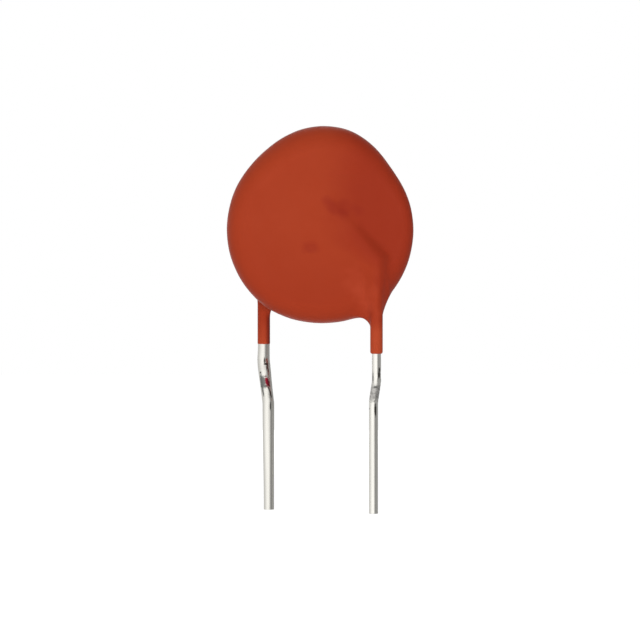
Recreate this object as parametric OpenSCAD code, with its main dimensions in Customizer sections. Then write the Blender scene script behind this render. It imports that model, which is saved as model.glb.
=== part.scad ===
/* [Leads] */
// Diameter of both wires
lead_d = 0.65; // [0.5:0.05:0.8]
// Distance between the wires below the kinks
lead_pitch = 7.5; // [6.5:0.1:8.5]
// Length of the front lead below the seating plane
front_tail = 7.8; // [3:0.1:20]
// Length of the back lead below the seating plane
back_tail = 7.5; // [3:0.1:20]

/* [Kinks] */
// Bend radius of a kink, along the middle of the wire
kink_r = 0.6; // [0.4:0.05:0.7]
// Height of the front lead's kink above the seating plane
front_kink_h = 1.95; // [1.7:0.05:2.4]
// Height of the back lead's kink above the seating plane
back_kink_h = 3.4; // [2.6:0.05:3.7]
// How far the front lead's kink brings the wire in, seen from the front
front_kink_in = 0.2; // [0:0.02:0.6]
// How far the back lead's kink brings the wire in, seen from the front
back_kink_in = 0.38; // [0:0.02:0.6]

/* [Leads on the disc] */
// Depth below the disc's centre at which a lead turns across the face
turn_drop = 2.2; // [1:0.1:3]
// Angle between the run across the face and the upright leg
run_angle = 39; // [30:1:50]
// Length of the run across the face
run_l = 5.6; // [4:0.1:6.5]
// Bend radius of the turn, along the middle of the wire
turn_r = 0.8; // [0.5:0.1:1.5]

/* [Ceramic disc] */
// Diameter of the ceramic disc
disc_d = 12.2; // [11.4:0.1:13]
// Thickness of the ceramic disc
disc_t = 2; // [1.6:0.1:2.6]
// Bevel along the edges of the ceramic disc
disc_bevel = 0.15; // [0.05:0.05:0.3]
// Height of the disc's centre above the seating plane
disc_z = 12.57; // [11.9:0.01:13.3]
// How far the disc's centre lies to the side of the leads' middle
disc_x = -0.08; // [-0.3:0.02:0.3]

/* [Electrodes and solder] */
// Thickness of the metal layer on each face
electrode_t = 0.05; // [0.03:0.01:0.1]
// Bare ceramic left round each metal layer
electrode_margin = 0.3; // [0.1:0.05:0.6]
// Thickness of the solder under a lead
solder_t = 0.05; // [0.04:0.01:0.1]
// Half width of the solder joint on the face
solder_r = 0.62; // [0.5:0.02:0.7]
// Length of the solder joint along the run
solder_l = 4.6; // [3:0.1:5]
// How far the solder joint reaches past the end of the wire
solder_past = 0.35; // [0.2:0.05:0.5]
// Length of the slope at each end of the solder joint
solder_slope = 0.3; // [0.1:0.05:0.45]

/* [Coating] */
// Thickness of the coating over the edge of the disc
rim_coat = 0.59; // [0.45:0.01:0.8]
// Thickness of the coating over the faces, near the edge
face_coat = 0.45; // [0.4:0.01:0.6]
// Extra thickness of the coating at the middle of the faces
face_crown = 0.12; // [0:0.01:0.2]
// Radius of the coating's rounded edge
edge_r = 1.35; // [1:0.05:1.45]
// How softly the rounded edge runs into the faces, from 2 for a plain arc
edge_power = 2.3; // [2:0.1:3]
// Thickness of the coating on the wires
lead_coat = 0.125; // [0.1:0.005:0.2]
// Lower end of the sleeve on the front lead
front_sleeve_z = 3.66; // [2.8:0.01:4.8]
// Lower end of the sleeve on the back lead
back_sleeve_z = 4.32; // [4:0.01:4.8]
// Height over which the front sleeve's end is drawn in
front_sleeve_round = 0.25; // [0:0.05:0.3]
// Height over which the back sleeve's end is drawn in
back_sleeve_round = 0; // [0:0.05:0.3]

/* [Drip at the top] */
// Height of the drip above the round outline
drip_h = 0.77; // [0:0.01:1.2]
// Lean of the drip's highest point, clockwise from straight up
drip_a = 9; // [-20:1:20]
// How far round the outline the drip reaches to the left
drip_left = 67; // [40:1:80]
// How far round the outline the drip reaches to the right
drip_right = 49; // [40:1:80]

/* [Relief of the faces] */
// Height of the coating drawn along a lead
fill_h = 0.2; // [0:0.01:0.3]
// Share of that height left at the end of the run
fill_end = 0.2; // [0:0.05:1]
// Width of that coating on the inner side of the lead
fill_in = 3.2; // [2:0.1:4]
// Width of that coating on the outer side of the lead
fill_out = 1; // [0.6:0.1:1.6]
// How far the ridge over the run sinks under the mound, up to the run's end
run_sink = 0.5; // [0:0.05:0.6]
// Height of the mound over the solder joint
mound_h = 0.26; // [0.2:0.01:0.35]
// Place of the mound's top, out from the disc's centre to the lead's side
mound_out = 1.2; // [0:0.1:2]
// Place of the mound's top, up from the disc's centre
mound_up = 1.2; // [0:0.1:2]
// Reach of the mound to each side
mound_w = 4.2; // [3.5:0.1:5]
// Reach of the mound up and down
mound_l = 4.8; // [4:0.1:5.5]
// Slope of the face on the lead's side, down to the edge
fall_slope = 0.045; // [0:0.005:0.06]
// Where that slope starts, out from the disc's centre
fall_from = 1.4; // [0.5:0.1:3]
// How softly that slope starts
fall_soft = 0.5; // [0.1:0.1:1.5]

/* [Fillets of the coating] */
// Width of the fillet between a lead's ridge and the face
ridge_fillet = 0.8; // [0.4:0.05:1.2]
// Width of the front sleeve's fillet on its outer side
front_fillet_out = 1.6; // [0.8:0.05:2]
// Width of the front sleeve's fillet on its inner side
front_fillet_in = 1.4; // [0.8:0.05:2]
// Width of the back sleeve's fillet on its outer side
back_fillet_out = 0.15; // [0.1:0.05:1]
// Width of the back sleeve's fillet on its inner side
back_fillet_in = 0.9; // [0.4:0.05:1.4]
// Depth below the disc's centre at which a sleeve's fillet starts to turn into a ridge's
fillet_low = 5; // [4.6:0.1:5.4]
// Depth below the disc's centre at which it has turned into a ridge's
fillet_high = 3.2; // [2.6:0.1:4]
// Extra coating at the foot of the front sleeve
web_h = 0.11; // [0:0.01:0.2]
// Place of that extra coating, clockwise from straight up
web_a = 147; // [130:1:160]
// How far round the outline that extra coating reaches
web_reach = 24; // [15:1:35]

/* [Facets of the coating] */
// Size of the coating's facets on the disc
facet = 0.5; // [0.4:0.05:0.6]
// Size of the coating's facets round the leads
fine_facet = 0.24; // [0.2:0.02:0.3]

/* [Hidden] */
$fn = 48;

// Play left round each piece that the coating or the solder holds
bond_gap = 0.01;
// How far a cutting shape runs past what it cuts
cut_past = 0.5;
// How much fuller a wire is at its bends, and how far a straight stretch runs into a bend
bend_swell = 0.005;
bend_lap = 0.03;
// Step over which the slope of the surface's distance is measured, and how often a point moves
slope_step = 0.01;
settle_turns = 2;

lead_r = lead_d / 2;
sleeve_r = lead_r + lead_coat;
// Depth of a lead's middle in front of the disc's middle plane, and of the metal layer's face
face_y = disc_t / 2 + electrode_t;
lead_y = face_y + solder_t + lead_r;
front_x = lead_pitch / 2 + front_kink_in;
back_x = -lead_pitch / 2 - back_kink_in;
turn_z = disc_z - turn_drop;
// Length that the turn's arc takes from the leg, and from the run
turn_tangent = turn_r * tan(run_angle / 2);
run_x = run_l * sin(run_angle);
run_z = run_l * cos(run_angle);

// Round outline of the coating, and half its thickness near the edge
coat_r = disc_d / 2 + rim_coat;
coat_y = face_y + face_coat;

// Shape of the coating's surface, as a distance that is negative inside

// Lesser of two distances, with a fillet of the given width where they are equal
function blend(a, b, width) =
    let (h = max(width - abs(a - b), 0) / width)
    min(a, b) - h * h * width / 4;

// 0 below a, 1 above b, and a smooth step between
function ramp(a, b, v) =
    let (t = min(max((v - a) / (b - a), 0), 1))
    t * t * (3 - 2 * t);

// Angle brought into -180 to 180
function turned(a) = a > 180 ? a - 360 : a < -180 ? a + 360 : a;

function drip(a) =
    let (d = turned(a - drip_a), reach = d < 0 ? drip_left : drip_right)
    abs(d) < reach ? drip_h * pow(cos(90 * d / reach), 2) : 0;

function web(a) = web_h * exp(-pow(turned(a - web_a) / web_reach, 2));

// Distance from a point to the stretch between two points
function stretch(p, a, b) =
    let (d = b - a, t = min(max(((p - a) * d) / (d * d), 0), 1))
    norm(p - a - t * d);

// Height of a face's relief at a point out and up from the disc's centre, on a lead's side:
// coating drawn along the bent wire, a mound over the solder, and a fall beyond them
function relief(q, leg) =
    let (turn = [leg, -turn_drop],
         end = turn + [-run_x, run_z],
         off = min(stretch(q, [leg, -coat_r], turn), stretch(q, turn, end)),
         beyond = max(q[0] - leg, (q - turn) * [cos(run_angle), sin(run_angle)]),
         width = fill_in + (fill_out - fill_in) * ramp(-sleeve_r, sleeve_r, beyond),
         height = fill_h * (1 + (fill_end - 1) * ramp(turn[1], end[1], q[1])),
         away = norm([(q[0] - mound_out) / mound_w, (q[1] - mound_up) / mound_l]),
         past = q[0] - fall_from)
    height * (1 - ramp(0, width, off)) + mound_h * (1 - ramp(0, 1, away))
        - fall_slope * (past + norm([past, fall_soft])) / 2;

// The dipped disc: a flat pill with a rounded edge, a drip, and a crown and relief on its faces
function disc_skin(x, y, z) =
    let (dx = x - disc_x, dz = z - disc_z, r = norm([dx, dz]), a = atan2(dx, dz),
         raised = y < 0 ? relief([dx, dz], front_x - disc_x) : relief([-dx, dz], disc_x - back_x),
         level = coat_y + face_crown * (1 - pow(r / coat_r, 2)) + raised,
         out = r - (coat_r + drip(a) + web(a) - edge_r),
         up = abs(y) - max(level - edge_r, 0),
         round_part = pow(max(out, 0), edge_power) + pow(max(up, 0), edge_power))
    pow(round_part, 1 / edge_power) + min(max(out, up), 0) - edge_r;

// A coated wire: its leg from the given height, and its run across the face, sinking
function wire_skin(p, x, y, low, inward) =
    let (turn = [x, y, turn_z],
         run = stretch(p, turn, turn + [inward * run_x, 0, run_z]),
         sink = run_sink * ramp(turn_z, turn_z + run_z, p[2]))
    blend(stretch(p, [x, y, low], turn), run + sink, lead_r) - sleeve_r;

// Width of the fillet at a point: by side at the foot of a sleeve, and even on the face
function fillet(p, side, out_width, in_width) =
    let (foot = in_width + (out_width - in_width) * ramp(-sleeve_r, sleeve_r, side),
         face = max(ramp(disc_z - fillet_low, disc_z - fillet_high, p[2]),
                    ramp(lead_y - sleeve_r, lead_y + sleeve_r / 2, abs(p[1]))))
    foot + (ridge_fillet - foot) * face;

function skin(p) =
    let (disc = disc_skin(p[0], p[1], p[2]),
         front = wire_skin(p, front_x, -lead_y, front_sleeve_z + front_sleeve_round, -1),
         back = wire_skin(p, back_x, lead_y, back_sleeve_z + back_sleeve_round, 1),
         with_front = blend(disc, front,
             fillet(p, p[0] - front_x, front_fillet_out, front_fillet_in)))
    blend(with_front, back, fillet(p, back_x - p[0], back_fillet_out, back_fillet_in));

// Lines at the given stops, with even steps of about the given size between them
function lines(stops, sizes) =
    [for (s = [0:len(sizes) - 1])
        let (span = stops[s + 1] - stops[s], n = max(ceil(span / sizes[s]), 1))
        for (i = [0:n - 1]) stops[s] + span * i / n,
     stops[len(sizes)]];

function mean(points) = [for (a = [0:2]) [for (p = points) p[a]] * [for (p = points) 1]]
    / len(points);

// Moves a point onto the surface, down the slope of the distance
function settled(p, turns) =
    turns == 0 ? p :
    let (h = slope_step, v = skin(p),
         g = [skin(p + [h, 0, 0]) - v, skin(p + [0, h, 0]) - v, skin(p + [0, 0, h]) - v] / h)
    settled(p - v * g / (g * g), turns - 1);

// The coating's outer form: one point in each cell of a grid that the surface crosses,
// and two triangles across each grid line that it crosses
module skin_mesh() {
    near = sleeve_r + fine_facet / 2;
    edge = coat_r + web_h + facet;
    // The crests of the ridges, lifted a little by their fillets, lie midway between two lines,
    // with enough lines above them to clear the mounds
    crest_y = lead_y + sleeve_r + ridge_fillet / 8;
    mound_y = coat_y + face_crown + fill_h + mound_h;
    lines_above = max(ceil((mound_y - crest_y) / fine_facet), 1);
    top_y = crest_y + (lines_above + 1 / 2) * fine_facet;
    ridge_y = [for (y = top_y; y > lead_y - near; y = y - fine_facet) y];
    last = len(ridge_y) - 1;
    grid_x = lines([disc_x - edge, back_x - near, back_x + near,
                    front_x - near, front_x + near, disc_x + edge],
                   [facet, fine_facet, facet, fine_facet, facet]);
    grid_y = concat([for (i = [0:last - 1]) -ridge_y[i]],
                    lines([-ridge_y[last], ridge_y[last]], [facet]),
                    [for (i = [1:last]) ridge_y[last - i]]);
    grid_z = lines([min(front_sleeve_z, back_sleeve_z) - sleeve_r - facet,
                    disc_z - coat_r, disc_z + edge + drip_h],
                   [facet, facet]);
    nx = len(grid_x) - 1;
    ny = len(grid_y) - 1;
    nz = len(grid_z) - 1;

    unit = [[1, 0, 0], [0, 1, 0], [0, 0, 1]];
    corners = [for (i = [0, 1]) for (j = [0, 1]) for (k = [0, 1]) [i, j, k]];
    edges = [for (a = corners) for (u = unit) if (a * u == 0) [a, a + u]];

    values = [for (x = grid_x) [for (y = grid_y) [for (z = grid_z) skin([x, y, z])]]];
    function value(c) = values[c[0]][c[1]][c[2]];
    function place(c) = [grid_x[c[0]], grid_y[c[1]], grid_z[c[2]]];

    crossed = [for (i = [0:nx - 1]) [for (j = [0:ny - 1]) [for (k = [0:nz - 1])
        let (n = len([for (c = corners) if (value([i, j, k] + c) < 0) 1])) n > 0 && n < 8]]];

    function cell_point(c) =
        settled(mean([for (e = edges)
            let (a = c + e[0], b = c + e[1], va = value(a), vb = value(b))
            if ((va < 0) != (vb < 0)) place(a) + (place(b) - place(a)) * va / (va - vb)]),
            settle_turns);
    points = [for (i = [0:nx - 1]) for (j = [0:ny - 1]) for (k = [0:nz - 1])
        if (crossed[i][j][k]) cell_point([i, j, k])];

    // Number of each cell's point, counted column by column
    held = [for (x = crossed) for (y = x) len([for (z = y) if (z) 1])];
    first = [for (c = 0, n = 0; c < len(held); n = n + held[c], c = c + 1) n];
    numbers = [for (i = [0:nx - 1]) [for (j = [0:ny - 1])
        [for (k = 0, n = first[i * ny + j]; k < nz;
              n = n + (crossed[i][j][k] ? 1 : 0), k = k + 1) n]]];
    function number(c) = numbers[c[0]][c[1]][c[2]];

    // Two triangles across the shorter diagonal, turned to face out
    function facets(a, b, c, d, flip) =
        let (short = norm(points[a] - points[c]) <= norm(points[b] - points[d]),
             pair = short ? [[a, b, c], [a, c, d]] : [[a, b, d], [b, c, d]])
        flip ? [for (t = pair) [t[2], t[1], t[0]]] : pair;

    triangles = [for (i = [1:nx - 1]) for (j = [1:ny - 1]) for (k = [1:nz - 1])
        for (u = [0:2])
        let (c = [i, j, k], v = unit[(u + 1) % 3], w = unit[(u + 2) % 3],
             here = value(c) < 0, there = value(c + unit[u]) < 0)
        if (here != there)
        for (t = facets(number(c - v - w), number(c - w), number(c), number(c - v), here)) t];

    polyhedron(points = points, faces = triangles);
}

// Pieces

// An upright rod between two heights, lapping into the bends at its ends
module rod(low, high, r) {
    translate([0, 0, low - bend_lap]) cylinder(r = r, h = high - low + 2 * bend_lap);
}

// A bend in the XZ plane, about the given centre
module bend(centre, radius, from, sweep, r) {
    translate([centre[0], 0, centre[1]])
        rotate([90, 0, 0])
            rotate([0, 0, from])
                rotate_extrude(angle = sweep)
                    translate([radius, 0])
                        circle(r = r + bend_swell);
}

// The kink of a lead, from the seating plane up to the leg, along the local X
module kink(shift, rise, r) {
    slope_l = sqrt(rise * rise + shift * shift - 4 * kink_r * shift);
    slope_a = atan2(shift - 2 * kink_r, rise) + atan2(2 * kink_r, slope_l);
    bend([kink_r, 0], kink_r, 180 - slope_a, slope_a, r);
    translate([kink_r * (1 - cos(slope_a)), 0, kink_r * sin(slope_a)])
        rotate([0, slope_a, 0])
            rod(0, slope_l, r);
    bend([shift - kink_r, rise], kink_r, -slope_a, slope_a, r);
}

// A whole lead on the front face, with its radius grown by the given play
module lead(tail, kink_in, kink_h, play) {
    r = lead_r + play;
    shift = norm([kink_in, lead_y]);
    turn_low = turn_z - turn_tangent;
    translate([lead_pitch / 2, 0, 0]) {
        translate([0, 0, -tail - play]) cylinder(r = r, h = tail + play + bend_lap);
        rotate([0, 0, atan2(-lead_y, kink_in)]) kink(shift, kink_h, r);
        translate([kink_in, -lead_y, 0]) {
            rod(kink_h, turn_low, r);
            bend([-turn_r, turn_low], turn_r, 0, run_angle, r);
            translate([0, 0, turn_z])
                rotate([0, -run_angle, 0])
                    translate([0, 0, turn_tangent - bend_lap])
                        cylinder(r = r, h = run_l - turn_tangent + bend_lap + play);
        }
    }
}

// A front solder joint, grown by the given play, with its foot on the metal layer
module solder_lump(kink_in, play) {
    end = run_l + solder_past;
    length = solder_l + 2 * play;
    r = solder_r + play;
    intersection() {
        translate([lead_pitch / 2 + kink_in, -face_y, turn_z])
            rotate([0, -run_angle, 0])
                translate([0, 0, end - solder_l - play])
                    rotate_extrude()
                        polygon([[0, 0], [r - solder_slope, 0], [r, solder_slope],
                                 [r, length - solder_slope], [r - solder_slope, length],
                                 [0, length]]);
        translate([-coat_r, -face_y - coat_r, turn_z - coat_r])
            cube([2 * coat_r, coat_r + play, 2 * coat_r]);
    }
}

// A round plate on its edge, between two depths
module plate(r, from_y, to_y) {
    translate([disc_x, to_y, disc_z]) rotate([90, 0, 0]) cylinder(r = r, h = to_y - from_y);
}

module ceramic_disc() {
    r = disc_d / 2;
    h = disc_t / 2;
    b = disc_bevel;
    color("dimgray")
        translate([disc_x, 0, disc_z])
            rotate([90, 0, 0])
                rotate_extrude()
                    polygon([[0, -h], [r - b, -h], [r, -h + b], [r, h - b], [r - b, h], [0, h]]);
}

electrode_r = disc_d / 2 - electrode_margin;

module front_electrode() {
    color("silver") plate(electrode_r, -face_y, -disc_t / 2);
}

module back_electrode() {
    color("silver") plate(electrode_r, disc_t / 2, face_y);
}

module front_lead() {
    color("gainsboro") lead(front_tail, front_kink_in, front_kink_h, 0);
}

module back_lead() {
    color("gainsboro")
        rotate([0, 0, 180]) lead(back_tail, back_kink_in, back_kink_h, 0);
}

module front_solder() {
    color("lightslategray")
        difference() {
            solder_lump(front_kink_in, 0);
            lead(front_tail, front_kink_in, front_kink_h, bond_gap);
        }
}

module back_solder() {
    color("lightslategray")
        rotate([0, 0, 180])
            difference() {
                solder_lump(back_kink_in, 0);
                lead(back_tail, back_kink_in, back_kink_h, bond_gap);
            }
}

// What lies below the end of a sleeve
module below(x, y, z) {
    w = sleeve_r + cut_past;
    translate([x - w, y - w, z - 2 * w]) cube(2 * w);
}

module coating() {
    color([0.65, 0.24, 0.15])
        difference() {
            skin_mesh();
            below(front_x, -lead_y, front_sleeve_z);
            below(back_x, lead_y, back_sleeve_z);
            plate(disc_d / 2 + bond_gap, -disc_t / 2 - bond_gap, disc_t / 2 + bond_gap);
            plate(electrode_r + bond_gap, -face_y - bond_gap, face_y + bond_gap);
            lead(front_tail, front_kink_in, front_kink_h, bond_gap);
            rotate([0, 0, 180]) lead(back_tail, back_kink_in, back_kink_h, bond_gap);
            solder_lump(front_kink_in, bond_gap);
            rotate([0, 0, 180]) solder_lump(back_kink_in, bond_gap);
        }
}

coating();
ceramic_disc();
front_electrode();
back_electrode();
front_solder();
back_solder();
front_lead();
back_lead();
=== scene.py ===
"""A red dipped disc resistor on two kinked wire leads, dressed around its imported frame.

Lengths are in millimetres, and become metres where Blender takes them. The frame's front is -Y.
"""

from itertools import product
from math import atan2, cos, hypot, pi, radians, sin, sqrt, tan

import bpy
import numpy as np
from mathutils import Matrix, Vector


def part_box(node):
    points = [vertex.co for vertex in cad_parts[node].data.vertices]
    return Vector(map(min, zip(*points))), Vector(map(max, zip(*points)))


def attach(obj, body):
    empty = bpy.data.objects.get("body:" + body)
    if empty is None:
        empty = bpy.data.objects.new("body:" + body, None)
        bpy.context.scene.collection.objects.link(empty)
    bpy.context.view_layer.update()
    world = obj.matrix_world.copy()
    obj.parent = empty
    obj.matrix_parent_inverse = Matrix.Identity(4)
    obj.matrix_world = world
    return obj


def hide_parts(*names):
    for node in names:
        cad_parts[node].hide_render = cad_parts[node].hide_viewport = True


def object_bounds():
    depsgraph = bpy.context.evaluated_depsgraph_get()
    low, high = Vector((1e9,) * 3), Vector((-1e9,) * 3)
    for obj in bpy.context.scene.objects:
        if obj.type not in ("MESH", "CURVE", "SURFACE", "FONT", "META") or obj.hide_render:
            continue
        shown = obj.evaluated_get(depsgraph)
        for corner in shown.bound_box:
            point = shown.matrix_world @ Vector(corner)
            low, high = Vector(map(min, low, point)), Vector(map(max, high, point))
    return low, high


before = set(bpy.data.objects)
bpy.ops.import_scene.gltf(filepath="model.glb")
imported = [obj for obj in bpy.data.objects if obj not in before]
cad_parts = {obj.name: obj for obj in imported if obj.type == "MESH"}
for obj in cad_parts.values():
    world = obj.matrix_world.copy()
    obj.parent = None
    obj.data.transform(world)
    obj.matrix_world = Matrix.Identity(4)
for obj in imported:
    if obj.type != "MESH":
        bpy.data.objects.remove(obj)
cad_low, cad_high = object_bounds()

MM = 0.001
FRONT, BACK = -1, 1


def box_mm(node):
    """Lowest and highest corner of a CAD node, in millimetres."""
    low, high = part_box(node)
    return np.array(low) / MM, np.array(high) / MM


# Sizes of the frame

disc_low, disc_high = box_mm("ceramic_disc")
metal_low, _ = box_mm("front_electrode")
coat_low, coat_high = box_mm("coating")

DISC_X = (disc_low[0] + disc_high[0]) / 2
DISC_Z = (disc_low[2] + disc_high[2]) / 2
DISC_R = (disc_high[0] - disc_low[0]) / 2
FACE_Y = -metal_low[1]

# How much fuller the frame's wires are at their bends
BEND_SWELL = 0.005
# Thickness of the solder under a wire
SOLDER_T = 0.05
# Depth below the disc's centre at which a wire turns across the face, and the turn's radius
TURN_DROP = 2.2
TURN_R = 0.8
# Angle between the run across the face and the upright leg, and the run's length
RUN_ANGLE = radians(39)
RUN_L = 5.6
# Radius of the kinks' bends, and distance between the wires below them
KINK_R = 0.6
PITCH = 7.5

TURN_Z = DISC_Z - TURN_DROP
TURN_TANGENT = TURN_R * tan(RUN_ANGLE / 2)
RUN_X = RUN_L * sin(RUN_ANGLE)
RUN_Z = RUN_L * cos(RUN_ANGLE)


class Lead:
    """Sizes of one wire, seen from its own side of the disc, where its X points outward."""

    def __init__(self, node, side, kink_h, sleeve_z):
        low, high = box_mm(node)
        self.side = side
        self.r = side * -(low if side == BACK else high)[1] - BEND_SWELL
        self.y = FACE_Y + SOLDER_T + self.r
        self.x = max(-low[0], high[0]) - self.r - BEND_SWELL
        self.tail = -low[2]
        self.kink_h = kink_h
        self.sleeve_z = sleeve_z


# The wires, with the heights of their kinks and of their sleeves' lower ends
front = Lead("front_lead", FRONT, kink_h=1.95, sleeve_z=coat_low[2])
back = Lead("back_lead", BACK, kink_h=3.4, sleeve_z=4.32)


# Shape of the lacquer, as a distance that is negative inside

# Thickness of the lacquer over the disc's edge, over its faces, and on the wires
RIM_COAT = 0.59
FACE_COAT = 0.45
LEAD_COAT = 0.125
# Extra thickness at the middle of a face
CROWN = 0.12
# Radius of the rounded edge, how much more it is at the drip, and how soft its ends are
EDGE_R = 1.55
DRIP_EDGE = 0.2
EDGE_POWER = 2.3
# Sharper edge on the right: how much less its radius is, its direction and its reach
SHARP_EDGE = 0.8
SHARP_A = 88
SHARP_REACH = 38
# Flatter slant of the edge up to the left: how much less its power is, its direction and its reach
SLANT = 0.55
SLANT_A = -25
SLANT_REACH = 42
# Height of the drip, its lean clockwise from straight up, and its reach to the left and right
DRIP_H = 0.77
DRIP_A = 9
DRIP_LEFT = 67
DRIP_RIGHT = 49
# Extra lacquer round the outline, most at the foot of the front sleeve: height, direction, reach
LOBES = ((0.17, 143, 24), (0.06, -53, 18), (0.065, -143, 20))
# Fillet along a ridge, and at the foot of each sleeve on its outer and inner side
RIDGE_FILLET = 0.85
FRONT_FILLET = (1.7, 2.0)
BACK_FILLET = (0.15, 0.9)
# Depths below the disc's centre between which a foot's fillet turns into a ridge's
FILLET_LOW = 5
FILLET_HIGH = 3.2
# Rounding of the sleeves' lower ends
FRONT_END_R = 0.2
BACK_END_R = 0.12

COAT_R = DISC_R + RIM_COAT
COAT_Y = FACE_Y + FACE_COAT
SLEEVE_R = front.r + LEAD_COAT
# Fillet where a coated leg meets its run across the face
TURN_FILLET = front.r / 2


def blend(a, b, width):
    """Lesser of two distances, with a fillet of the given width where they are equal."""
    h = np.maximum(width - np.abs(a - b), 0) / width
    return np.minimum(a, b) - h * h * width / 4


def ramp(a, b, v):
    """0 below a, 1 above b, and a smooth step between."""
    t = np.clip((v - a) / (b - a), 0, 1)
    return t * t * (3 - 2 * t)


def hump(distance, width):
    """1 at no distance, falling smoothly to 0 at the given width."""
    return 1 - ramp(0, width, distance)


def turned(a):
    """An angle brought into -180 to 180."""
    return (a + 180) % 360 - 180


def drip(a):
    """Height of the drip above the round outline, as a share of its own height."""
    d = turned(a - DRIP_A)
    share = np.abs(d) / np.where(d < 0, DRIP_LEFT, DRIP_RIGHT)
    return np.cos(np.minimum(share, 1) * pi / 2) ** 2


def near(a, middle, reach):
    """1 in a direction from the disc's centre, falling off smoothly on both sides."""
    return np.exp(-((turned(a - middle) / reach) ** 2))


def stretch(p, a, b):
    """Distance from points to the stretch between two points."""
    a = np.array(a)
    d = np.array(b) - a
    t = np.clip((p - a) @ d / (d @ d), 0, 1)
    return np.linalg.norm(p - a - t[..., None] * d, axis=-1)


# Relief of a face, over the flat lacquer. Places are out and up from the disc's centre.

# Lacquer drawn along a wire: height, its share at the run's end, width inside and outside the turn
FILL_H = 0.2
FILL_END = 0.2
FILL_IN = 3.2
FILL_OUT = 1.0
# How far the run's own ridge sinks under the mound, from the turn to the end
RUN_SINK = 0.75
# Broad mound over the solder: place, height, and half width and half height
MOUND = (1.2, 1.2)
MOUND_H = 0.22
MOUND_W = (4.2, 4.8)
# Lump below the end of the wire
LUMP = (0.4, 0.8)
LUMP_H = 0.1
LUMP_W = (1.6, 1.5)
# Spur that runs up from the wire's end to the drip: its top, height and width
SPUR_TOP = (1.0, 5.2)
SPUR_H = 0.06
SPUR_W = 1.5
# Fall of the face outside the spur: slope, start, and softness of the start
FALL_SLOPE = 0.045
FALL_FROM = 1.4
FALL_SOFT = 0.5
# Dimple left of the middle of the front face
DIMPLE = (-0.7, -1.3)
DIMPLE_H = 0.07
DIMPLE_W = (0.75, 0.5)


def oval(u, w, place, widths):
    """1 at a place on a face, falling smoothly to 0 round an oval."""
    return hump(np.hypot((u - place[0]) / widths[0], (w - place[1]) / widths[1]), 1)


def relief(u, w, leg_x):
    """Height of a face's relief at u out and w up from the disc's centre, on a lead's side."""
    q = np.stack([u, w], -1)
    turn = np.array([leg_x, TURN_Z - DISC_Z])
    end = turn + [-RUN_X, RUN_Z]
    low = np.array([leg_x, -COAT_R])
    off = np.minimum(stretch(q, low, turn), stretch(q, turn, end))
    # How far a point is outside the bent line, or inside it where negative
    run_off = (q - turn) @ np.array([cos(RUN_ANGLE), sin(RUN_ANGLE)])
    outer = ramp(-SLEEVE_R, SLEEVE_R, np.maximum(u - leg_x, run_off))
    high = ramp(turn[1], end[1], w)
    fill = FILL_H * (1 + (FILL_END - 1) * high) * hump(off, FILL_IN + (FILL_OUT - FILL_IN) * outer)
    mound = MOUND_H * oval(u, w, MOUND, MOUND_W) + LUMP_H * oval(u, w, LUMP, LUMP_W)
    spur = SPUR_H * hump(stretch(q, end, SPUR_TOP), SPUR_W)
    past = u - FALL_FROM
    fall = FALL_SLOPE * (past + np.hypot(past, FALL_SOFT)) / 2
    return fill + mound + spur - fall


# Long and short unevenness of the dipped surface: height, and two waves that cross, each with its
# radians for a millimetre along X, Y and Z, and its start
SWELL = (
    (0.012, (0.83, 0, 0.41, 0.9), (-0.36, 0, 0.57, 2.1)),
    (0.005, (2.3, 1.7, -1.1, 0), (1.4, 0, 1.9, -0.6)),
)


def wave(p, turns):
    """A wave at points, from its radians for a millimetre along each axis and its start."""
    return np.sin(p @ np.array(turns[:3]) + turns[3])


def crossed_waves(p, pairs):
    """Height of pairs of crossing waves, each pair with its own height."""
    return sum(height * wave(p, first) * wave(p, second) for height, first, second in pairs)


def disc_skin(p):
    """The dipped disc: a flat pill with a rounded edge, a drip and a relief on each face."""
    u, y, w = p[..., 0] - DISC_X, p[..., 1], p[..., 2] - DISC_Z
    r = np.hypot(u, w)
    a = np.degrees(np.arctan2(u, w))
    edge = EDGE_R + DRIP_EDGE * drip(a) - SHARP_EDGE * near(a, SHARP_A, SHARP_REACH)
    power = EDGE_POWER - SLANT * near(a, SLANT_A, SLANT_REACH)
    level = COAT_Y + CROWN * (1 - (r / COAT_R) ** 2)
    level = level + np.where(
        y < 0,
        relief(u, w, front.x - DISC_X) - DIMPLE_H * oval(u, w, DIMPLE, DIMPLE_W),
        relief(-u, w, back.x + DISC_X),
    )
    lobes = sum(height * near(a, *place) for height, *place in LOBES)
    out = r - (COAT_R + DRIP_H * drip(a) + lobes - edge)
    up = np.abs(y) - np.maximum(level - edge, 0)
    rounded = (np.maximum(out, 0) ** power + np.maximum(up, 0) ** power) ** (1 / power)
    return rounded + np.minimum(np.maximum(out, up), 0) - edge


def wire_skin(p, lead):
    """A coated wire: its leg, and its run across the face."""
    x, y = -lead.side * lead.x, lead.side * lead.y
    turn = [x, y, TURN_Z]
    end = [x + lead.side * RUN_X, y, TURN_Z + RUN_Z]
    leg = stretch(p, [x, y, lead.sleeve_z - SLEEVE_R], turn)
    run = stretch(p, turn, end) + RUN_SINK * ramp(TURN_Z, TURN_Z + RUN_Z, p[..., 2])
    return blend(leg, run, TURN_FILLET) - SLEEVE_R


def fillet(p, lead, widths):
    """Width of the fillet at a point: by side at the foot of a sleeve, and even on the face."""
    outer = -lead.side * p[..., 0] - lead.x
    foot = widths[1] + (widths[0] - widths[1]) * ramp(-SLEEVE_R, SLEEVE_R, outer)
    high = ramp(DISC_Z - FILLET_LOW, DISC_Z - FILLET_HIGH, p[..., 2])
    proud = ramp(lead.y - SLEEVE_R, lead.y + SLEEVE_R / 2, np.abs(p[..., 1]))
    return foot + (RIDGE_FILLET - foot) * np.maximum(high, proud)


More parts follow.
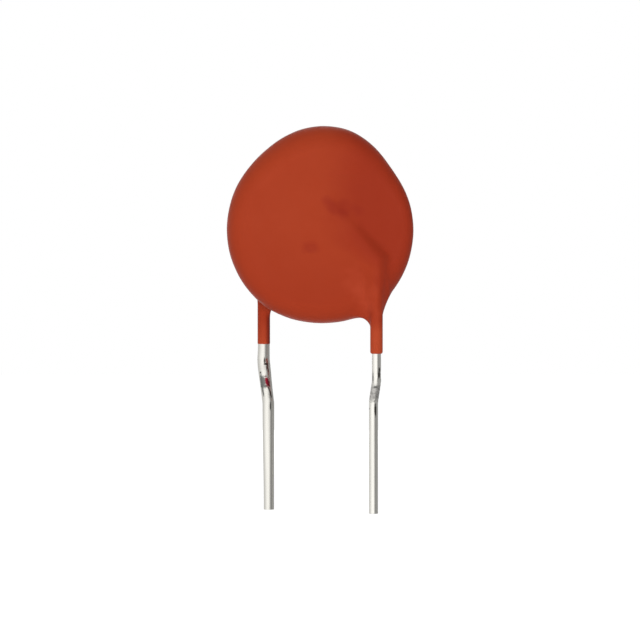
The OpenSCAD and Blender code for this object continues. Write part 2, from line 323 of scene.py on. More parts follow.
def skin(p):
    """The whole lacquer, cut square at the lower ends of its sleeves."""
    body = disc_skin(p) - crossed_waves(p, SWELL)
    body = blend(body, wire_skin(p, front), fillet(p, front, FRONT_FILLET))
    body = blend(body, wire_skin(p, back), fillet(p, back, BACK_FILLET))
    right = p[..., 0] > 0
    below = np.where(right, front.sleeve_z, back.sleeve_z) - p[..., 2]
    return -blend(-body, -below, np.where(right, FRONT_END_R, BACK_END_R))


# Meshes

# Size of the lacquer's facets, how often its points are moved onto the surface, and the step over
# which the surface's slope is measured
FACET = 0.1
SETTLE_TURNS = 3
SLOPE_STEP = 0.002
# Free room left round the frame's coating for the finer skin
NET_MARGIN = 3 * FACET


def slope(field, p):
    """Gradient of a distance."""
    moves = np.eye(3) * SLOPE_STEP
    return np.stack([field(p + m) - field(p - m) for m in moves], -1) / (2 * SLOPE_STEP)


def crossed_cells(inside):
    """Whether each cell of a grid has corners on both sides of the surface."""
    x, y, z = (n - 1 for n in inside.shape)
    corners = [inside[i : x + i, j : y + j, k : z + k] for i, j, k in product((0, 1), repeat=3)]
    count = sum(corner.astype(int) for corner in corners)
    return (count > 0) & (count < len(corners))


def cell_points(grid, value, crossed):
    """For each crossed cell, the mean of the places where its lines meet the surface."""
    total = np.zeros(crossed.shape + (3,))
    hits = np.zeros(crossed.shape)
    for axis in range(3):
        v, g = np.moveaxis(value, axis, 0), np.moveaxis(grid, axis, 0)
        sums, n = np.moveaxis(total, axis, 0), np.moveaxis(hits, axis, 0)
        low, high = v[:-1], v[1:]
        cut = (low < 0) != (high < 0)
        t = np.where(cut, low / np.where(cut, low - high, 1), 0)[..., None]
        at = (g[:-1] + (g[1:] - g[:-1]) * t) * cut[..., None]
        rows, columns = n.shape[1:]
        for j, k in product((0, 1), repeat=2):
            sums += at[:, j : rows + j, k : columns + k]
            n += cut[:, j : rows + j, k : columns + k]
    return total[crossed] / hits[crossed][:, None]


def line_quads(inside, crossed):
    """For each line that meets the surface, the quad of the four cells round it, facing out."""
    number = np.full(crossed.shape, -1)
    number[crossed] = np.arange(crossed.sum())
    quads = []
    for axis in range(3):
        v, n = np.moveaxis(inside, axis, 0), np.moveaxis(number, axis, 0)
        low, high = v[:-1, 1:-1, 1:-1], v[1:, 1:-1, 1:-1]
        ring = np.stack([n[:, :-1, :-1], n[:, 1:, :-1], n[:, 1:, 1:], n[:, :-1, 1:]], -1)
        # Round a line along Y, the ring turns the other way
        out = low & ~high if axis != 1 else high & ~low
        into = (low != high) & ~out
        quads += [ring[out], ring[into][:, ::-1]]
    return np.concatenate(quads)


def surface_net(field, xs, ys, zs):
    """A closed mesh where field is 0, with a point in each crossed cell, moved onto the surface."""
    grid = np.stack(np.meshgrid(xs, ys, zs, indexing="ij"), -1)
    value = field(grid)
    crossed = crossed_cells(value < 0)
    points = cell_points(grid, value, crossed)
    for _ in range(SETTLE_TURNS):
        g = slope(field, points)
        points -= (field(points) / (g * g).sum(-1))[:, None] * g
    return points, line_quads(value < 0, crossed)


def steps(low, high, size):
    """Even steps of about the given size from low to high."""
    return np.linspace(low, high, max(int(round((high - low) / size)), 1) + 1)


def new_object(name, points, faces, material):
    """A smooth mesh object from points in millimetres."""
    mesh = bpy.data.meshes.new(name)
    mesh.from_pydata((np.asarray(points) * MM).tolist(), [], faces)
    mesh.polygons.foreach_set("use_smooth", [True] * len(mesh.polygons))
    mesh.materials.append(material)
    mesh.update()
    made = bpy.data.objects.new(name, mesh)
    bpy.context.scene.collection.objects.link(made)
    return made


def make_lacquer(material):
    """The lacquer's skin, as one closed mesh."""
    ends = zip(coat_low - NET_MARGIN, coat_high + NET_MARGIN)
    points, quads = surface_net(skin, *(steps(low, high, FACET) for low, high in ends))
    return new_object("lacquer", points, quads.tolist(), material)


# Wires

# Points round a wire, and the distance between its rings
SIDES = 40
RING = 0.07
# Rounding of a wire's cut end, and the rings that make it
END_R = 0.04
END_RINGS = 4


def arc(centre, radius, start, sweep):
    """Points along an arc in a plane, angles counted from the first axis to the second."""
    n = max(int(abs(sweep) * radius / RING), 2)
    a = start + sweep * np.linspace(0, 1, n + 1)
    return np.stack([centre[0] + radius * np.cos(a), centre[1] + radius * np.sin(a)], -1)


def straight(a, b):
    """Points along a straight stretch in a plane."""
    a, b = np.array(a, float), np.array(b, float)
    n = max(int(hypot(*(b - a)) / RING), 1)
    return a + (b - a) * np.linspace(0, 1, n + 1)[:, None]


def joined(*parts):
    """Stretches of points end to end, without the doubled point at each joint."""
    return np.concatenate([parts[0]] + [p[1:] for p in parts[1:]])


def wire_path(lead):
    """Middle line of a wire, from its lower end to the end of its run across the face."""
    kink_in = lead.x - PITCH / 2
    shift = hypot(kink_in, lead.y)
    slope_l = sqrt(lead.kink_h**2 + shift**2 - 4 * KINK_R * shift)
    lean = atan2(shift - 2 * KINK_R, lead.kink_h) + atan2(2 * KINK_R, slope_l)
    low = arc((KINK_R, 0), KINK_R, pi, -lean)
    high = arc((shift - KINK_R, lead.kink_h), KINK_R, -lean, lean)
    flat = joined(straight((0, -lead.tail), (0, 0)), low, straight(low[-1], high[0]), high)
    x, y = PITCH / 2 + flat[:, 0] * kink_in / shift, -flat[:, 0] * lead.y / shift
    foot = np.stack([x, y, flat[:, 1]], -1)

    turn_low = TURN_Z - TURN_TANGENT
    turn = arc((lead.x - TURN_R, turn_low), TURN_R, 0, RUN_ANGLE)
    end = (lead.x - RUN_X, TURN_Z + RUN_Z)
    flat = joined(straight((lead.x, lead.kink_h), turn[0]), turn, straight(turn[-1], end))
    upper = np.stack([flat[:, 0], np.full(len(flat), -lead.y), flat[:, 1]], -1)
    path = joined(foot, upper)
    return path if lead.side == FRONT else path * [-1, -1, 1]


def across(path):
    """Directions along a path, and two across it that don't twist."""
    along = np.gradient(path, axis=0)
    along /= np.linalg.norm(along, axis=1)[:, None]
    first = [np.array([1.0, 0, 0])]
    for t in along[1:]:
        n = first[-1] - t * (first[-1] @ t)
        first.append(n / np.linalg.norm(n))
    first = np.array(first)
    return along, first, np.cross(along, first)


def make_wire(name, lead, extra, marks, material):
    """A wire along its lead's path: extra is its added radius by height, marks cut into it."""
    path = wire_path(lead)
    along, a, b = across(path)
    turns = np.linspace(0, pi / 2, END_RINGS)
    step_in, shrink = END_R * (1 - np.cos(turns)), END_R * (1 - np.sin(turns))
    order = np.concatenate([[0] * END_RINGS, np.arange(1, len(path) - 1), [-1] * END_RINGS])
    middle = np.zeros(len(path) - 2)
    along_by = np.concatenate([step_in, middle, -step_in[::-1]])[:, None]
    centres = path[order] + along[order] * along_by
    radius = lead.r + extra(centres[:, 2]) - np.concatenate([shrink, middle, shrink[::-1]])

    angle = np.linspace(0, 2 * pi, SIDES, endpoint=False)[None, :, None]
    out = np.cos(angle) * a[order][:, None] + np.sin(angle) * b[order][:, None]
    surface = centres[:, None] + out * radius[:, None, None]
    rings = surface - out * marks(surface)[..., None]

    points = np.concatenate([path[:1], rings.reshape(-1, 3), path[-1:]])
    this = 1 + np.arange(len(order) * SIDES).reshape(-1, SIDES)
    beside = np.roll(this, -1, axis=1)
    faces = np.stack([this[:-1], beside[:-1], beside[1:], this[1:]], -1).reshape(-1, 4).tolist()
    faces += [[0, beside[0, j], this[0, j]] for j in range(SIDES)]
    faces += [[len(points) - 1, this[-1, j], beside[-1, j]] for j in range(SIDES)]
    return new_object(name, points, faces, material)


def bite(p, centre, reach, depth):
    """A dent of the forming tool: its centre, its reach along each axis, and its depth."""
    return depth * hump(np.linalg.norm((p - centre) / reach, axis=-1), 1)


# Dents and folds of bent tin, given as the lacquer's waves are, but as shares of their depth, and
# the share of their stretch over which they fade at each end
FOLDS = (
    (1, (19, 0, 11, 0), (0, -13, 23, 1.3)),
    (0.7, (29, 0, 37, 0.4), (-17, 31, 0, 0)),
)
FOLDS_FADE = 0.25


def crumple(p, low, high, depth):
    """Small dents and folds of bent tin between two heights."""
    z = p[..., 2]
    margin = (high - low) * FOLDS_FADE
    share = ramp(low, low + margin, z) * (1 - ramp(high - margin, high, z))
    return depth * crossed_waves(p, FOLDS) * share


# Dents of the forming tool: their places, reaches and depth
FRONT_BITE = ((4.2, -1.35, 2.25), (0.16, 0.3, 0.45), 0.05)
BACK_BITE = ((-4.03, 0.55, 1.7), (0.3, 0.3, 0.5), 0.05)
# Stretches that the tool crumpled: their lower and upper ends, and how deep the folds are
FRONT_CRUMPLE = (-0.3, 2.6, 0.014)
BACK_CRUMPLE = (-0.4, 3.6, 0.003)

# Tin built up on the back wire: its extra radius at the sleeve, at the kink and at the end
TIN_SLEEVE = 0.1
TIN_KINK = 0.055
TIN_END = 0.045
# Heights between which it grows from the kink's radius to the sleeve's, and how far into the
# sleeve it starts and ends to fade
TIN_GROWS = (0.6, 3.2)
TIN_FADES = (0.1, 0.9)
# How much more tin there is on the outer side, and the height above which that fades
TIN_OUTSIDE = 0.08
TIN_OUTSIDE_TOP = 2.4


def outside_tin(p):
    """Extra tin on the outer side of the back wire, from its end up to its sleeve."""
    x, z = p[..., 0], p[..., 2]
    middle = -PITCH / 2 + (PITCH / 2 - back.x) * np.clip(z / back.kink_h, 0, 1)
    outside = np.clip((middle - x) / back.r, 0, 1)
    return TIN_OUTSIDE * outside * ramp(-back.tail, 0, z) * (1 - ramp(TIN_OUTSIDE_TOP, back.sleeve_z, z))


def front_marks(p):
    """Depth of the tool's dents in the front wire."""
    return bite(p, *FRONT_BITE) + crumple(p, *FRONT_CRUMPLE)


def back_marks(p):
    """Depth of the tool's dents in the back wire, less the tin on its outer side."""
    return bite(p, *BACK_BITE) + crumple(p, *BACK_CRUMPLE) - outside_tin(p)


def no_tin(z):
    """Extra radius of the front wire, which has none."""
    return np.zeros_like(z)


def back_tin(z):
    """Extra radius of the back wire: full at the sleeve, less below the kink, none in the lacquer."""
    below = TIN_END + (TIN_KINK - TIN_END) * ramp(-back.tail, 0, z)
    above = below + (TIN_SLEEVE - TIN_KINK) * ramp(*TIN_GROWS, z)
    return above * (1 - ramp(back.sleeve_z + TIN_FADES[0], back.sleeve_z + TIN_FADES[1], z))


# Materials

# Colours of the lacquer: two tones that it wanders between, and the length over which it does
RED_TONES = ((0.453, 0.053, 0.0165, 1), (0.438, 0.05, 0.0155, 1))
RED_WANDER_L = 3.5
# Its tone on the lower part of a face, painted shade on the front's right and in spots, and a painted
# highlight
RED_LOW = (0.415, 0.0435, 0.013, 1)
RED_SHADED_SIDE = (0.38, 0.036, 0.012, 1)
RED_SHADE_SPOT = (0.335, 0.027, 0.011, 1)
RED_LIT_SPOT = (0.475, 0.056, 0.02, 1)
# Its tone where it is thin on the legs, and its painted shade on the inner side of the back leg
RED_THIN = (0.525, 0.072, 0.025, 1)
RED_LEG_SHADE = (0.222, 0.02, 0.009, 1)
# Heights between which the coat of a leg thins out, on the front and on the back
FRONT_THINS = (6.0, 5.2)
BACK_THINS = (6.1, 4.0)
# X between which the back leg's tones give way to the front leg's
BACK_LEG_X = (-3, -2.9)
# Where the painted shade on the back leg's inner side begins, in X and downward
BACK_SHADE_X = (-4.02, -3.78)
BACK_SHADE_Z = (6.6, 6.2)
# Depths below the disc's centre between which the face's lower part takes its own tone
LOW_DROP = (0, 4.5)
# Y between which the tones of the front face alone set in
FRONT_Y = (-0.2, -1.0)
# Edge of the painted shade on the front face's right side: its X and its softness above the wire
# and at the leg, the depths below the disc's centre between which it follows the wire, and the length
# and the reach of its wandering
SHADE_EDGE_X = (1.35, 4.25)
SHADE_EDGE_SOFT = (1.4, 0.35)
SHADE_EDGE_DROP = (0.6, 3.0)
SHADE_EDGE_WANDER = (2, 0.4)
# Painted shade on the front face, past the wire's end and in the dimple: place, reach, lean, strength
SHADE_SPOTS = (((1.5, 1.5), (1.5, 0.8), 20, 1), ((-0.65, -1.3), (0.75, 0.5), 0, 0.45))
# Painted highlight on the lit flank of the front wire's ridge, inside its leg
LIT_SPOTS = (((3.1, -4.7), (1.1, 2.2), -30, 1),)
# How deep a spot reaches, the shares of its reach between which it fades, and the length and the
# reach of its wandering
SPOT_DEPTH = 1
SPOT_FADE = (0.2, 1.1)
SPOT_WANDER = (0.9, 0.3)
# Gloss of the lacquer: its mirror level, its sheen with that sheen's roughness, its own roughness,
# and the length over which that changes
LACQUER_SPECULAR = 0.1
LACQUER_SHEEN = 0.065
LACQUER_SHEEN_ROUGH = 0.4
LACQUER_ROUGH = (0.44, 0.54)
LACQUER_ROUGH_L = 0.9
# Length and height of the lacquer's faint waves, and of its grain
WAVES_L = 1.1
WAVES_H = 0.02
GRAIN_L = 0.14
GRAIN_H = 0.0015

# Colours of the tin on each wire, the back's a darker copy as painted shade, and the mottled painted
# dark reflection in the front wire's band of the tool's crimping
FRONT_TIN_TONES = ((0.84, 0.822, 0.77, 1), (0.77, 0.755, 0.705, 1))
BACK_TIN_SHADED_TONES = ((0.77, 0.752, 0.70, 1), (0.70, 0.685, 0.635, 1))
CRIMPED_SHADE_TONES = ((0.68, 0.66, 0.63, 1), (0.40, 0.39, 0.37, 1))
# Colours of a scratch, of painted shade on a dent's dark side and in the bends, and of a painted
# reflection of the red lacquer
SCRATCH_TONE = (0.09, 0.082, 0.072, 1)
SHADE_MARK_TONE = (0.17, 0.17, 0.16, 1)
RED_REFLECTION_TONE = (0.25, 0.012, 0.028, 1)
# Draw lines: their scale along each axis, the width of their tones, of their duller stretches and
# of the lines themselves, the lines' height, and the tin's roughness
DRAWN_SCALE = (1, 1, 0.04)
DRAWN_TONE_W = 0.3
DRAWN_ROUGH_W = 0.2
DRAWN_LINE_W = 0.12
DRAWN_LINE_H = 0.001
TIN_ROUGH = (0.22, 0.30)
# Band of the front wire under the tool's crimping, with a painted dark reflection of the kink's downward
# face, from its lower to its upper end, and its softness
CRIMP_SHADE_BAND = (0.25, 1.6)
CRIMP_SHADE_SOFT = 0.35
# Size and height of its grains, and its added roughness
CRIMPED_GRAIN = 0.2
CRIMPED_GRAIN_H = 0.03
CRIMPED_ROUGH = 0.25
# How far round a wire a mark reaches, from its front
MARK_DEPTH = 0.4
# Shares of a mark's reach between which it fades, and the size of its raggedness
MARK_FADE = (1.2, 1.8)
MARK_RAGGED = 0.15
# What the forming tool left on the side of the front wire that the camera sees, with painted shade on
# dark sides: place across and up, reach across and up, lean and tone
FRONT_MARKS_AND_SHADE = (
    ((4.155, 2.53), (0.06, 0.17), 0, SCRATCH_TONE),
    ((4.13, 2.16), (0.09, 0.24), 5, SCRATCH_TONE),
    ((3.70, 1.95), (0.04, 0.40), 0, SHADE_MARK_TONE),
    ((3.89, 1.31), (0.15, 0.10), 0, SHADE_MARK_TONE),
    ((3.45, 0.42), (0.05, 0.08), 0, SCRATCH_TONE),
    ((3.43, -0.27), (0.04, 0.07), 0, SCRATCH_TONE),
    ((3.88, -0.36), (0.07, 0.46), 0, SCRATCH_TONE),
)
# The same on the back wire, with painted shade and a painted reflection of the red lacquer in its kink
BACK_MARKS_SHADE_REFLECTION = (
    ((-4.08, 3.14), (0.06, 0.26), 0, SCRATCH_TONE),
    ((-3.97, 2.93), (0.16, 0.08), 0, SCRATCH_TONE),
    ((-3.92, 2.66), (0.03, 0.16), 0, SCRATCH_TONE),
    ((-3.84, 2.68), (0.04, 0.44), -8, SHADE_MARK_TONE),
    ((-4.36, 2.33), (0.05, 0.06), 0, SCRATCH_TONE),
    ((-4.26, 1.61), (0.10, 0.85), -8, SHADE_MARK_TONE),
    ((-4.12, 1.62), (0.16, 0.48), -8, SHADE_MARK_TONE),
    ((-4.00, 2.05), (0.14, 0.05), 0, SHADE_MARK_TONE),
    ((-3.97, 1.36), (0.16, 0.09), 0, SHADE_MARK_TONE),
    ((-4.16, 0.92), (0.05, 0.36), -8, SHADE_MARK_TONE),
    ((-3.76, 1.16), (0.05, 0.26), -22, SCRATCH_TONE),
    ((-3.62, 0.78), (0.05, 0.28), -10, SCRATCH_TONE),
    ((-3.65, -0.06), (0.04, 0.28), 0, SCRATCH_TONE),
    # Painted reflection of the red lacquer in the kink's upward slope
    ((-3.86, 1.60), (0.15, 0.45), -13, RED_REFLECTION_TONE),
)

# Materials inside the lacquer: name, metallic, two tones, size of the grain, least roughness, nodes
INNER_MATERIALS = (
    ("dark_ceramic", 0, ((0.10, 0.10, 0.11, 1), (0.07, 0.07, 0.08, 1)), 0.08, 0.6,
     ("ceramic_disc",)),
    ("silver_layer", 1, ((0.82, 0.82, 0.80, 1), (0.70, 0.70, 0.68, 1)), 0.05, 0.4,
     ("front_electrode", "back_electrode")),
    ("solder", 1, ((0.58, 0.59, 0.61, 1), (0.48, 0.49, 0.51, 1)), 0.3, 0.3,
     ("front_solder", "back_solder")),
)
# How much rougher they get, and the height of their grain as a share of its size
INNER_ROUGH_SPAN = 0.15
INNER_RELIEF = 0.1

# Values between which a noise mostly lies, closer ones that it often passes, and its mean
NOISE_RANGE = (0.3, 0.7)
NOISE_CORE = (0.35, 0.65)
NOISE_MEAN = 0.5


def feed(tree, socket, value):
    """Sets an input to a value, or links it to an output."""
    if isinstance(value, bpy.types.NodeSocket):
        tree.links.new(value, socket)
    else:
        socket.default_value = value


def add(tree, kind, inputs, **settings):
    """A shader node with its settings and its inputs."""
    made = tree.nodes.new("ShaderNode" + kind)
    for key, value in settings.items():
        setattr(made, key, value)
    for key, value in inputs.items():
        feed(tree, made.inputs[key], value)
    return made


def calc(tree, operation, *values):
    """The result of one step of arithmetic."""
    return add(tree, "Math", dict(enumerate(values)), operation=operation).outputs["Value"]


def axes(tree, at):
    """The X, Y and Z of a place, by name."""
    return add(tree, "SeparateXYZ", {"Vector": at}).outputs


def noise(tree, at, size, detail=3):
    """Noise whose lumps are about the given size."""
    return add(tree, "TexNoise", {"Vector": at, "Scale": 1 / size, "Detail": detail}).outputs["Fac"]


def mix(tree, factor, a, b):
    """Colour between a and b, by factor."""
    made = add(tree, "Mix", {"Factor": factor}, data_type="RGBA")
    sockets = {socket.identifier: socket for socket in (*made.inputs, *made.outputs)}
    feed(tree, sockets["A_Color"], a)
    feed(tree, sockets["B_Color"], b)
    return sockets["Result_Color"]


def spread(tree, value, span, to=(0, 1)):
    """A value moved from one range to another, and kept inside it."""
    inputs = {"Value": value, "From Min": span[0], "From Max": span[1], "To Min": to[0], "To Max": to[1]}
    return add(tree, "MapRange", inputs).outputs["Result"]


def wander(tree, at, length, reach):
    """A smooth offset of up to reach either way, which changes over about the given length."""
    return spread(tree, noise(tree, at, length, 1), NOISE_RANGE, (-reach, reach))


def bumped(tree, height, distance, normal=None):
    """A normal from a height of 0 to 1, with that height's size in millimetres."""
    inputs = {"Height": height, "Strength": 1, "Distance": distance * MM}
    if normal:
        inputs["Normal"] = normal
    return add(tree, "Bump", inputs).outputs["Normal"]


def away_from(tree, at, centre, reach, lean):
    """Distance from a place, counted in its reach along each axis, leaning in degrees about Y."""
    away = add(tree, "Mapping", {
        "Vector": at, "Location": centre, "Rotation": (0, radians(lean), 0), "Scale": reach,
    }, vector_type="TEXTURE").outputs["Vector"]
    return add(tree, "VectorMath", {"Vector": away}, operation="LENGTH").outputs["Value"]


def new_material(name, metallic):
    """A material, its tree, its shader and its coordinates in millimetres."""
    material = bpy.data.materials.new(name)
    material.use_nodes = True
    tree = material.node_tree
    shader = tree.nodes["Principled BSDF"]
    shader.inputs["Metallic"].default_value = metallic
    metres = add(tree, "TexCoord", {}).outputs["Object"]
    at = add(tree, "VectorMath", {0: metres, "Scale": 1 / MM}, operation="SCALE").outputs["Vector"]
    return material, tree, shader, at


def link_looks(tree, shader, tone, rough, normal):
    """A shader's colour, roughness and normal."""
    tree.links.new(tone, shader.inputs["Base Color"])
    tree.links.new(rough, shader.inputs["Roughness"])
    tree.links.new(normal, shader.inputs["Normal"])


def painted_shade_side(tree, at):
    """1 on the right of the front face, where shade is painted into the lacquer's colour, and 0
    elsewhere.
    """
    axis = axes(tree, at)
    heights = [DISC_Z - drop for drop in SHADE_EDGE_DROP]
    past = calc(tree, "SUBTRACT", axis["X"], spread(tree, axis["Z"], heights, SHADE_EDGE_X))
    past = calc(tree, "ADD", past, wander(tree, at, *SHADE_EDGE_WANDER))
    soft = spread(tree, axis["Z"], heights, SHADE_EDGE_SOFT)
    return spread(tree, calc(tree, "DIVIDE", past, soft), (-1, 1))


def spots_share(tree, at, spots):
    """Share of the spots' tone on the front face."""
    share = 0
    for (out, up), (reach_x, reach_z), lean, strength in spots:
        centre = (out + DISC_X, -COAT_Y, up + DISC_Z)
        far = away_from(tree, at, centre, (reach_x, SPOT_DEPTH, reach_z), lean)
        far = calc(tree, "ADD", far, wander(tree, at, *SPOT_WANDER))
        share = calc(tree, "MAXIMUM", spread(tree, far, SPOT_FADE, (strength, 0)), share)
    return share


def face_tones(tree, at):
    """The lacquer's slow changes of tone, with the painted shade and painted highlight of the front face
    alone.
    """
    tone = mix(tree, spread(tree, noise(tree, at, RED_WANDER_L), NOISE_CORE), *RED_TONES)
    lower = spread(tree, axes(tree, at)["Z"], [DISC_Z - drop for drop in LOW_DROP])
    tone = mix(tree, lower, tone, RED_LOW)
    on_front = spread(tree, axes(tree, at)["Y"], FRONT_Y)
    # Painted shade on the front's right side and in spots, and a painted highlight by the front leg
    shares = (
        (painted_shade_side(tree, at), RED_SHADED_SIDE),
        (spots_share(tree, at, SHADE_SPOTS), RED_SHADE_SPOT),
        (spots_share(tree, at, LIT_SPOTS), RED_LIT_SPOT),
    )
    for share, own_tone in shares:
        tone = mix(tree, calc(tree, "MULTIPLY", share, on_front), tone, own_tone)
    return tone


def with_legs(tree, at, tone):
    """The lacquer's tone, thinner on the legs, with painted shade on the inner side of the back one."""
    axis = axes(tree, at)
    on_back_leg = spread(tree, axis["X"], BACK_LEG_X, (1, 0))
    thins = (spread(tree, axis["Z"], heights) for heights in (FRONT_THINS, BACK_THINS))
    tone = mix(tree, mix(tree, on_back_leg, *thins), tone, RED_THIN)
    # Painted shade on the inner side of the back leg
    leg_shade = calc(tree, "MULTIPLY", spread(tree, axis["X"], BACK_SHADE_X), on_back_leg)
    leg_shade = calc(tree, "MULTIPLY", leg_shade, spread(tree, axis["Z"], BACK_SHADE_Z))
    return mix(tree, leg_shade, tone, RED_LEG_SHADE)


def lacquer_material():
    """Satin dipped lacquer: slow changes of tone with painted shade and light, a fine grain and faint
    waves.
    """
    material, tree, shader, at = new_material("red_lacquer", 0)
    shader.inputs["Specular IOR Level"].default_value = LACQUER_SPECULAR
    shader.inputs["Sheen Weight"].default_value = LACQUER_SHEEN
    shader.inputs["Sheen Roughness"].default_value = LACQUER_SHEEN_ROUGH
    tone = with_legs(tree, at, face_tones(tree, at))
    rough = spread(tree, noise(tree, at, LACQUER_ROUGH_L), NOISE_RANGE, LACQUER_ROUGH)
    waves = bumped(tree, noise(tree, at, WAVES_L, 1), WAVES_H)
    grain = bumped(tree, noise(tree, at, GRAIN_L, 2), GRAIN_H, waves)
    link_looks(tree, shader, tone, rough, grain)
    return material


def mark_and_shade_share(tree, at, lead, place, reach, lean):
    """1 inside a ragged mark, patch of painted shade or painted reflection on the front of a wire, and 0
    away from it.
    """
    x, z = place
    y = lead.side * lead.y * min(max(z / lead.kink_h, 0), 1) - lead.r
    far = away_from(tree, at, (x, y, z), (reach[0], MARK_DEPTH, reach[1]), lean)
    ragged = calc(tree, "ADD", far, noise(tree, at, MARK_RAGGED))
    return spread(tree, ragged, MARK_FADE, (1, 0))


def crimp_shade_share(tree, at):
    """1 in the band of the tool's crimping and its painted dark reflection, and 0 above and below it."""
    z = axes(tree, at)["Z"]
    low, high = CRIMP_SHADE_BAND
    above = spread(tree, z, (low, low + CRIMP_SHADE_SOFT))
    below = spread(tree, z, (high - CRIMP_SHADE_SOFT, high), (1, 0))
    return calc(tree, "MULTIPLY", above, below)


def crimp_and_shade(tree, at, tone, rough, normal):
    """The tone, roughness and normal of a wire, made matt and grainy in the band of the tool's crimping,
    its mottled gray tone a painted dark reflection.
    """
    band = crimp_shade_share(tree, at)
    grains = noise(tree, at, CRIMPED_GRAIN)
    # Mottled painted dark reflection of the kink's downward face
    dull_shade = mix(tree, spread(tree, grains, NOISE_CORE), *CRIMPED_SHADE_TONES)
    tone = mix(tree, band, tone, dull_shade)
    rough = calc(tree, "MULTIPLY_ADD", band, CRIMPED_ROUGH, rough)
    dents = calc(tree, "MULTIPLY", band, calc(tree, "SUBTRACT", grains, NOISE_MEAN))
    return tone, rough, bumped(tree, dents, CRIMPED_GRAIN_H, normal)


def tin_material(name, lead, tones, marks, crimped_and_shaded=False):
    """Tinned copper with faint draw lines, what the forming tool left on it, and painted shade and
    reflections at its bends.
    """
    material, tree, shader, at = new_material(name, 1)
    drawn = add(tree, "Mapping", {"Vector": at, "Scale": DRAWN_SCALE}).outputs["Vector"]
    tone = mix(tree, spread(tree, noise(tree, drawn, DRAWN_TONE_W), NOISE_CORE), *tones)
    rough = spread(tree, noise(tree, drawn, DRAWN_ROUGH_W), NOISE_RANGE, TIN_ROUGH)
    normal = bumped(tree, noise(tree, drawn, DRAWN_LINE_W, 0), DRAWN_LINE_H)
    if crimped_and_shaded:
        tone, rough, normal = crimp_and_shade(tree, at, tone, rough, normal)
    # Marks, with painted shade and a painted reflection among them
    for place, reach, lean, mark_and_shade_tone in marks:
        tone = mix(tree, mark_and_shade_share(tree, at, lead, place, reach, lean), tone, mark_and_shade_tone)
    link_looks(tree, shader, tone, rough, normal)
    return material


def inner_material(name, metallic, tones, grain, rough):
    """A matt inner material with two tones and a grain of the given size."""
    material, tree, shader, at = new_material(name, metallic)
    grains = noise(tree, at, grain)
    roughness = spread(tree, grains, NOISE_RANGE, (rough, rough + INNER_ROUGH_SPAN))
    normal = bumped(tree, grains, grain * INNER_RELIEF)
    link_looks(tree, shader, mix(tree, grains, *tones), roughness, normal)
    return material


def dress_inner_nodes():
    """Materials of the pieces inside the lacquer, which stay as the frame has them."""
    for *looks, nodes in INNER_MATERIALS:
        material = inner_material(*looks)
        for node in nodes:
            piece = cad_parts[node]
            piece.data.materials.clear()
            piece.data.materials.append(material)


# Studio

# The photograph's size in pixels, the distance between the wires below their kinks in it, its
# scale, and the pixel at the seating plane's middle
PHOTO = 640
PITCH_PIXELS = 104.6
PIXEL = PITCH / PITCH_PIXELS
SEAT_PIXEL = (321.2, 405)
# The camera's place, the width of its sensor, and the nearest that it sees
CAMERA_Y = -400
SENSOR = 36
CAMERA_NEAREST = 10
# Soft lamps level with the disc: their distance and width, and the azimuth and radiance of each
LAMP_DISTANCE = 300
LAMP_SIZE = 200
LAMPS = (("key", -4, 5.1), ("fill", 176, 3.6))
# Light that the room gives all round, how much more from the front and back, and how much it
# changes to the right, to the back and upward
ROOM_LEVEL = 0.29
ROOM_FRONT = 0.49
ROOM_LEAN = (-0.04, 0, -0.16)
# What a gloss shows of the room: its level by azimuth, from behind over the left, the front and the
# right to behind, and how bright that is in all
ROOM_STOPS = (
    (-180, 0.95), (-168, 0.92), (-155, 0.50), (-130, 0.52), (-106, 0.56), (-79, 0.70), (-51, 0.89),
    (-35, 0.95), (-10, 1), (10, 0.93), (22, 0.50), (33, 0.31), (50, 0.215), (81, 0.265),
    (115, 0.30), (145, 0.24), (158, 0.34), (168, 0.92), (180, 0.95),
)
ROOM_SHINE = 1.34
# The floor's width, and how much it scatters and glows: to the object's light, and to the camera
FLOOR_SIZE = 2000
FLOOR_TO_LIGHT = (0.8, 0.2)
FLOOR_TO_CAMERA = (0.4, 0.9)


def make_camera():
    """A level camera in front of the object, framed as the photograph is."""
    data = bpy.data.cameras.new("camera")
    data.sensor_width = SENSOR
    data.lens = SENSOR * -CAMERA_Y / (PHOTO * PIXEL)
    data.clip_start = CAMERA_NEAREST * MM
    camera = bpy.data.objects.new("camera", data)
    x = (PHOTO / 2 - SEAT_PIXEL[0]) * PIXEL
    z = (SEAT_PIXEL[1] - PHOTO / 2) * PIXEL
    camera.location = (x * MM, CAMERA_Y * MM, z * MM)
    camera.rotation_euler = (pi / 2, 0, 0)
    bpy.context.scene.collection.objects.link(camera)
    bpy.context.scene.camera = camera


def make_lamp(name, azimuth, radiance):
    """A square soft lamp turned to the disc, seen neither by the camera nor in a gloss."""
    data = bpy.data.lights.new(name, "AREA")
    data.size = LAMP_SIZE * MM
    data.energy = radiance * pi * (LAMP_SIZE * MM) ** 2
    made = bpy.data.objects.new(name, data)
    a = radians(azimuth)
    away = np.array([sin(a), -cos(a), 0]) * LAMP_DISTANCE
    made.location = (np.array([DISC_X, 0, DISC_Z]) + away) * MM
    made.rotation_euler = (pi / 2, 0, a)
    made.visible_camera = False
    made.visible_glossy = False
    bpy.context.scene.collection.objects.link(made)


def gray(level):
    """A gray of the given level."""
    return (level, level, level, 1)


def gray_ramp(tree, value, stops):
    """A level that goes from stop to stop, each a place from 0 to 1 and a level."""
    made = add(tree, "ValToRGB", {"Fac": value})
    elements = made.color_ramp.elements
    elements[0].position, elements[1].position = 0, 1
    for at, _ in stops[1:-1]:
        elements.new(at)
    for element, (_, level) in zip(sorted(elements, key=lambda e: e.position), stops):
        element.color = gray(level)
    return made.outputs["Color"]


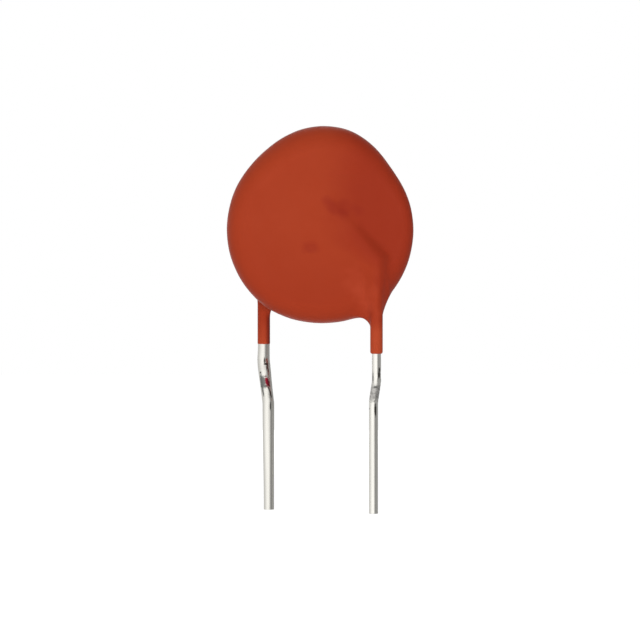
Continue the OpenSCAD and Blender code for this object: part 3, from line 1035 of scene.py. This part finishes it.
def room_light(tree, at):
    """Light of a plain room, a little darker to the right and above."""
    y = axes(tree, at)["Y"]
    level = spread(tree, calc(tree, "MULTIPLY", y, y), (0, 1), (ROOM_LEVEL, ROOM_LEVEL + ROOM_FRONT))
    lean = add(tree, "VectorMath", {0: at, 1: ROOM_LEAN}, operation="DOT_PRODUCT").outputs["Value"]
    return calc(tree, "ADD", level, lean)


def room_shown(tree, at):
    """What a gloss shows of the room."""
    axis = axes(tree, at)
    azimuth = calc(tree, "ARCTAN2", axis["X"], calc(tree, "MULTIPLY", axis["Y"], -1))
    stops = [(a / 360 + 0.5, level) for a, level in ROOM_STOPS]
    shown = gray_ramp(tree, spread(tree, azimuth, (-pi, pi)), stops)
    return add(tree, "VectorMath", {0: shown, "Scale": ROOM_SHINE}, operation="SCALE").outputs["Vector"]


def make_world():
    """White to the camera, and a room to the object."""
    world = bpy.data.worlds.new("studio")
    bpy.context.scene.world = world
    world.use_nodes = True
    tree = world.node_tree
    at = add(tree, "TexCoord", {}).outputs["Generated"]
    path = add(tree, "LightPath", {}).outputs
    lit = mix(tree, path["Is Glossy Ray"], room_light(tree, at), room_shown(tree, at))
    seen = mix(tree, path["Is Camera Ray"], lit, gray(1))
    tree.links.new(seen, tree.nodes["Background"].inputs["Color"])


def glowing_sheet(tree, scatter, glow):
    """A matt surface that also glows, both as levels of gray."""
    matt = add(tree, "BsdfDiffuse", {"Color": gray(scatter)}).outputs["BSDF"]
    light = add(tree, "Emission", {"Color": gray(glow)}).outputs["Emission"]
    return add(tree, "AddShader", {0: matt, 1: light}).outputs["Shader"]


def make_floor():
    """A pale floor at the wires' ends, white to the camera apart from the object's shadow."""
    material = bpy.data.materials.new("floor")
    material.use_nodes = True
    tree = material.node_tree
    tree.nodes.remove(tree.nodes["Principled BSDF"])
    path = add(tree, "LightPath", {}).outputs
    seen = calc(tree, "MAXIMUM", path["Is Camera Ray"], path["Is Glossy Ray"])
    seen = calc(tree, "MAXIMUM", seen, path["Is Transmission Ray"])
    to_light = glowing_sheet(tree, *FLOOR_TO_LIGHT)
    to_camera = glowing_sheet(tree, *FLOOR_TO_CAMERA)
    sheet = add(tree, "MixShader", {0: seen, 1: to_light, 2: to_camera}).outputs["Shader"]
    tree.links.new(sheet, tree.nodes["Material Output"].inputs["Surface"])

    half = FLOOR_SIZE / 2
    z = cad_low[2] / MM
    corners = [(-half, -half, z), (half, -half, z), (half, half, z), (-half, half, z)]
    floor = new_object("floor", corners, [[0, 1, 2, 3]], material)
    floor.visible_glossy = False


def main():
    """The dressed part, and the studio round it."""
    lacquer = make_lacquer(lacquer_material())
    front_tin = tin_material("front_tin", front, FRONT_TIN_TONES, FRONT_MARKS_AND_SHADE, crimped_and_shaded=True)
    # The back wire's tin takes tones painted darker, as shade
    back_tin_skin = tin_material("back_tin", back, BACK_TIN_SHADED_TONES, BACK_MARKS_SHADE_REFLECTION)
    front_wire = make_wire("front_wire", front, no_tin, front_marks, front_tin)
    back_wire = make_wire("back_wire", back, back_tin, back_marks, back_tin_skin)
    worn = ((lacquer, "coating", "red_lacquer"), (front_wire, "front_lead", "tinned_wire"),
            (back_wire, "back_lead", "tinned_wire"))
    for piece, node, slot in worn:
        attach(piece, "root")
        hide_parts(node)
    dress_inner_nodes()

    make_camera()
    make_world()
    make_floor()
    for name, azimuth, radiance in LAMPS:
        make_lamp(name, azimuth, radiance)
    bpy.context.scene.view_settings.view_transform = "Standard"


main()
